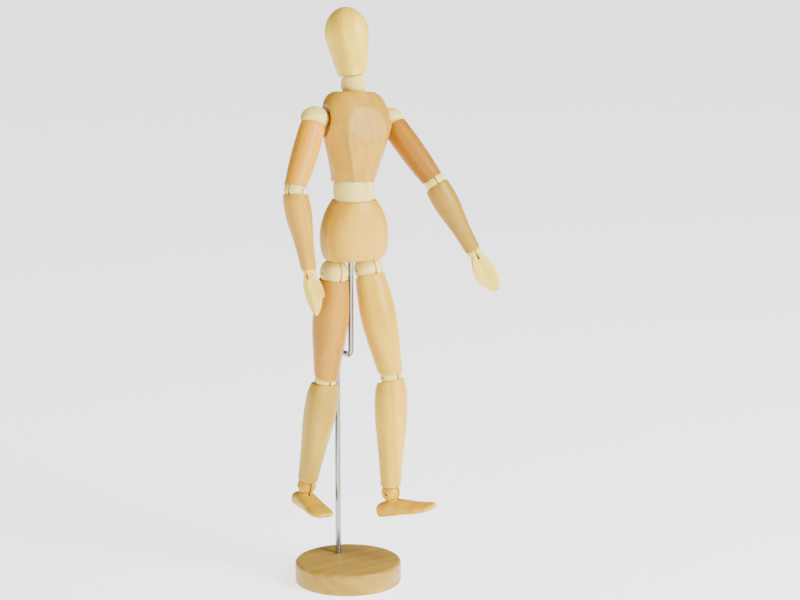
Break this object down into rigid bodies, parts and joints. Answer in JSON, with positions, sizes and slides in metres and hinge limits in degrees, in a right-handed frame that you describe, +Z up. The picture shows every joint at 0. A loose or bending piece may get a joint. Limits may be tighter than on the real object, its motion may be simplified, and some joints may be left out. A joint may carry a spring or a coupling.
{
  "type": "artist mannequin",
  "caption": "Jointed wooden drawing mannequin with ball joints, held on a cranked steel rod above a round wooden base.",
  "frame": {"origin": "centre of the underside of the round base", "axes": "+Z up the stand; the figure faces -Y and its left side is +X"},
  "size_m": [0.1219, 0.0745, 0.3243],
  "materials": {
    "base_wood": "clear lacquered, satin to gloss",
    "chest_wood": "clear lacquered, satin to gloss",
    "head_wood": "clear lacquered, satin to gloss",
    "wire_steel": "plain wire",
    "left_calf_wood": "clear lacquered, satin to gloss",
    "raw_wood": "unlacquered, matt",
    "left_foot_wood": "clear lacquered, satin to gloss",
    "left_forearm_wood": "clear lacquered, satin to gloss",
    "left_thigh_wood": "clear lacquered, satin to gloss",
    "left_upper_arm_wood": "clear lacquered, satin to gloss",
    "pelvis_wood": "clear lacquered, satin to gloss",
    "right_calf_wood": "clear lacquered, satin to gloss",
    "right_foot_wood": "clear lacquered, satin to gloss",
    "right_forearm_wood": "clear lacquered, satin to gloss",
    "right_thigh_wood": "clear lacquered, satin to gloss",
    "right_upper_arm_wood": "clear lacquered, satin to gloss",
    "stand_steel": "bright plated"
  },
  "bodies": {
    "base": {"base": "base_wood"},
    "stand": {"stand_rod": "stand_steel"},
    "pelvis": {"pelvis": "pelvis_wood", "hip_spring": "wire_steel"},
    "waist_core": {"waist_spring": "wire_steel"},
    "waist_barrel": {"waist_barrel": "raw_wood"},
    "chest": {"chest": "chest_wood", "shoulder_spring": "wire_steel"},
    "neck_core": {"neck_spring": "wire_steel"},
    "neck_ball": {"neck_ball": "raw_wood"},
    "head": {"head": "head_wood"},
    "left_shoulder_ball": {"left_shoulder_ball": "raw_wood", "left_shoulder_pin": "wire_steel"},
    "left_upper_arm_hook": {"left_upper_arm_hook": "wire_steel"},
    "left_upper_arm": {"left_upper_arm": "left_upper_arm_wood", "left_upper_arm_spring": "wire_steel"},
    "left_elbow_ball": {"left_elbow_ball": "raw_wood", "left_elbow_pin": "wire_steel"},
    "left_forearm": {"left_forearm": "left_forearm_wood", "left_forearm_hook": "wire_steel"},
    "left_wrist_core": {"left_forearm_spring": "wire_steel"},
    "left_hand": {"left_hand": "raw_wood", "left_wrist_pin": "wire_steel"},
    "left_hip_ball": {"left_hip_ball": "raw_wood", "left_hip_pin": "wire_steel"},
    "left_thigh_hook": {"left_thigh_hook": "wire_steel"},
    "left_thigh": {"left_thigh": "left_thigh_wood", "left_thigh_spring": "wire_steel"},
    "left_knee_ball": {"left_knee_ball": "raw_wood", "left_knee_pin": "wire_steel"},
    "left_calf": {"left_calf": "left_calf_wood", "left_calf_hook": "wire_steel"},
    "left_ankle_core": {"left_calf_spring": "wire_steel"},
    "left_foot": {"left_foot": "left_foot_wood", "left_ankle_pin": "wire_steel"},
    "right_shoulder_ball": {"right_shoulder_ball": "raw_wood", "right_shoulder_pin": "wire_steel"},
    "right_upper_arm_hook": {"right_upper_arm_hook": "wire_steel"},
    "right_upper_arm": {"right_upper_arm": "right_upper_arm_wood", "right_upper_arm_spring": "wire_steel"},
    "right_elbow_ball": {"right_elbow_ball": "raw_wood", "right_elbow_pin": "wire_steel"},
    "right_forearm": {"right_forearm": "right_forearm_wood", "right_forearm_hook": "wire_steel"},
    "right_wrist_core": {"right_forearm_spring": "wire_steel"},
    "right_hand": {"right_hand": "raw_wood", "right_wrist_pin": "wire_steel"},
    "right_hip_ball": {"right_hip_ball": "raw_wood", "right_hip_pin": "wire_steel"},
    "right_thigh_hook": {"right_thigh_hook": "wire_steel"},
    "right_thigh": {"right_thigh": "right_thigh_wood", "right_thigh_spring": "wire_steel"},
    "right_knee_ball": {"right_knee_ball": "raw_wood", "right_knee_pin": "wire_steel"},
    "right_calf": {"right_calf": "right_calf_wood", "right_calf_hook": "wire_steel"},
    "right_ankle_core": {"right_calf_spring": "wire_steel"},
    "right_foot": {"right_foot": "right_foot_wood", "right_ankle_pin": "wire_steel"}
  },
  "joints": [
    {"name": "stand_turn", "type": "hinge", "parent": "base", "child": "stand", "pos_m": [0.002, 0.0138, 0.0025], "axis": [0, 0, 1], "continuous": true},
    {"name": "figure_turn", "type": "hinge", "parent": "stand", "child": "pelvis", "pos_m": [0.002, -0.0007, 0.0025], "axis": [0, 0, 1], "range_deg": [-12, 12]},
    {"name": "waist_turn", "type": "hinge", "parent": "pelvis", "child": "waist_core", "pos_m": [0.002, -0.0045, 0.2248], "axis": [0, 0, 1], "range_deg": [-35, 35]},
    {"name": "waist_bend", "type": "hinge", "parent": "waist_core", "child": "waist_barrel", "pos_m": [0.002, -0.0045, 0.2248], "axis": [1, 0, 0], "range_deg": [-12, 18]},
    {"name": "waist_tilt", "type": "hinge", "parent": "waist_barrel", "child": "chest", "pos_m": [0.002, -0.0045, 0.2248], "axis": [0, 0.9914, -0.1305], "range_deg": [-8, 12]},
    {"name": "neck_turn", "type": "hinge", "parent": "chest", "child": "neck_core", "pos_m": [0.00709, 0.00369, 0.2824], "axis": [0.0872, 0.13, 0.9877], "range_deg": [-150, 150]},
    {"name": "neck_nod", "type": "hinge", "parent": "neck_core", "child": "neck_ball", "pos_m": [0.00709, 0.00369, 0.2824], "axis": [0.9962, -0.0114, -0.0864], "range_deg": [-15, 22]},
    {"name": "neck_tilt", "type": "hinge", "parent": "neck_ball", "child": "head", "pos_m": [0.00709, 0.00369, 0.2824], "axis": [-0.0046, 0.9833, -0.182], "range_deg": [-12, 24]},
    {"name": "left_shoulder_swing", "type": "hinge", "parent": "chest", "child": "left_shoulder_ball", "pos_m": [0.02933, 0.00181, 0.26125], "axis": [-0.9962, 0.0114, 0.0864], "range_deg": [-90, 130]},
    {"name": "left_shoulder_raise", "type": "hinge", "parent": "left_shoulder_ball", "child": "left_upper_arm_hook", "pos_m": [0.02933, 0.00181, 0.26125], "axis": [0.049, -0.7469, 0.6631], "range_deg": [-1, 75]},
    {"name": "left_upper_arm_twist", "type": "hinge", "parent": "left_upper_arm_hook", "child": "left_upper_arm", "pos_m": [0.02933, 0.00181, 0.26125], "axis": [-0.2629, 0.6309, 0.73], "range_deg": [-150, 150]},
    {"name": "left_elbow_upper", "type": "hinge", "parent": "left_upper_arm", "child": "left_elbow_ball", "pos_m": [0.04089, -0.02595, 0.22913], "axis": [0.852, -0.2033, 0.4825], "range_deg": [-14, 17]},
    {"name": "left_elbow_lower", "type": "hinge", "parent": "left_elbow_ball", "child": "left_forearm", "pos_m": [0.04089, -0.02595, 0.22913], "axis": [0.852, -0.2033, 0.4825], "range_deg": [-14, 17]},
    {"name": "left_wrist_twist", "type": "hinge", "parent": "left_forearm", "child": "left_wrist_core", "pos_m": [0.04089, -0.02595, 0.22913], "axis": [-0.4471, 0.1971, 0.8725], "range_deg": [-170, 170]},
    {"name": "left_wrist_bend", "type": "hinge", "parent": "left_wrist_core", "child": "left_hand", "pos_m": [0.06101, -0.03482, 0.18987], "axis": [0.852, -0.2033, 0.4825], "range_deg": [-40, 40]},
    {"name": "left_hip_spread", "type": "hinge", "parent": "pelvis", "child": "left_hip_ball", "pos_m": [0.0132, -0.0015, 0.1797], "axis": [0, -1, 0], "range_deg": [-3, 13]},
    {"name": "left_hip_swing", "type": "hinge", "parent": "left_hip_ball", "child": "left_thigh_hook", "pos_m": [0.0132, -0.0015, 0.1797], "axis": [-0.9977, 0, -0.068], "range_deg": [-35, 45]},
    {"name": "left_thigh_twist", "type": "hinge", "parent": "left_thigh_hook", "child": "left_thigh", "pos_m": [0.0132, -0.0015, 0.1797], "axis": [-0.0654, 0.2756, 0.959], "range_deg": [-75, 75]},
    {"name": "left_knee_upper", "type": "hinge", "parent": "left_thigh", "child": "left_knee_ball", "pos_m": [0.01722, -0.01845, 0.12072], "axis": [0.9925, 0.1171, 0.034], "range_deg": [-9, 22]},
    {"name": "left_knee_lower", "type": "hinge", "parent": "left_knee_ball", "child": "left_calf", "pos_m": [0.01722, -0.01845, 0.12072], "axis": [0.9925, 0.1171, 0.034], "range_deg": [-9, 22]},
    {"name": "left_ankle_twist", "type": "hinge", "parent": "left_calf", "child": "left_ankle_core", "pos_m": [0.01722, -0.01845, 0.12072], "axis": [-0.0281, -0.0517, 0.9983], "range_deg": [-75, 75]},
    {"name": "left_ankle_bend", "type": "hinge", "parent": "left_ankle_core", "child": "left_foot", "pos_m": [0.01914, -0.01491, 0.05244], "axis": [-0.8841, -0.4648, -0.049], "range_deg": [-40, 24]},
    {"name": "right_shoulder_swing", "type": "hinge", "parent": "chest", "child": "right_shoulder_ball", "pos_m": [-0.01849, 0.00236, 0.26539], "axis": [-0.9962, 0.0114, 0.0864], "range_deg": [-60, 140]},
    {"name": "right_shoulder_raise", "type": "hinge", "parent": "right_shoulder_ball", "child": "right_upper_arm_hook", "pos_m": [-0.01849, 0.00236, 0.26539], "axis": [-0.0211, 0.9305, -0.3656], "range_deg": [-4, 70]},
    {"name": "right_upper_arm_twist", "type": "hinge", "parent": "right_upper_arm_hook", "child": "right_upper_arm", "pos_m": [-0.01849, 0.00236, 0.26539], "axis": [0.5037, 0.3258, 0.8001], "range_deg": [-150, 150]},
    {"name": "right_elbow_upper", "type": "hinge", "parent": "right_upper_arm", "child": "right_elbow_ball", "pos_m": [-0.04065, -0.01198, 0.23019], "axis": [0.4371, -0.895, 0.0892], "range_deg": [-23, 4]},
    {"name": "right_elbow_lower", "type": "hinge", "parent": "right_elbow_ball", "child": "right_forearm", "pos_m": [-0.04065, -0.01198, 0.23019], "axis": [0.4371, -0.895, 0.0892], "range_deg": [-23, 4]},
    {"name": "right_wrist_twist", "type": "hinge", "parent": "right_forearm", "child": "right_wrist_core", "pos_m": [-0.04065, -0.01198, 0.23019], "axis": [-0.1953, 0.0023, 0.9807], "range_deg": [-170, 170]},
    {"name": "right_wrist_bend", "type": "hinge", "parent": "right_wrist_core", "child": "right_hand", "pos_m": [-0.03187, -0.01208, 0.18606], "axis": [0.4371, -0.895, 0.0892], "range_deg": [-40, 12]},
    {"name": "right_hip_spread", "type": "hinge", "parent": "pelvis", "child": "right_hip_ball", "pos_m": [-0.0092, -0.0015, 0.1797], "axis": [0, 1, 0], "range_deg": [-2, 13]},
    {"name": "right_hip_swing", "type": "hinge", "parent": "right_hip_ball", "child": "right_thigh_hook", "pos_m": [-0.0092, -0.0015, 0.1797], "axis": [-0.9985, 0, 0.0541], "range_deg": [-20, 60]},
    {"name": "right_thigh_twist", "type": "hinge", "parent": "right_thigh_hook", "child": "right_thigh", "pos_m": [-0.0092, -0.0015, 0.1797], "axis": [0.054, -0.0663, 0.9963], "range_deg": [-35, 75]},
    {"name": "right_knee_upper", "type": "hinge", "parent": "right_thigh", "child": "right_knee_ball", "pos_m": [-0.01252, 0.00258, 0.11843], "axis": [0.9876, -0.144, -0.0631], "range_deg": [-6, 25]},
    {"name": "right_knee_lower", "type": "hinge", "parent": "right_knee_ball", "child": "right_calf", "pos_m": [-0.01252, 0.00258, 0.11843], "axis": [0.9876, -0.144, -0.0631], "range_deg": [-6, 25]},
    {"name": "right_ankle_twist", "type": "hinge", "parent": "right_calf", "child": "right_ankle_core", "pos_m": [-0.01252, 0.00258, 0.11843], "axis": [0.0202, -0.2817, 0.9593], "range_deg": [-75, 33]},
    {"name": "right_ankle_bend", "type": "hinge", "parent": "right_ankle_core", "child": "right_foot", "pos_m": [-0.0139, 0.02184, 0.05281], "axis": [-0.9949, 0.0892, 0.0471], "range_deg": [-40, 24]}
  ]
}
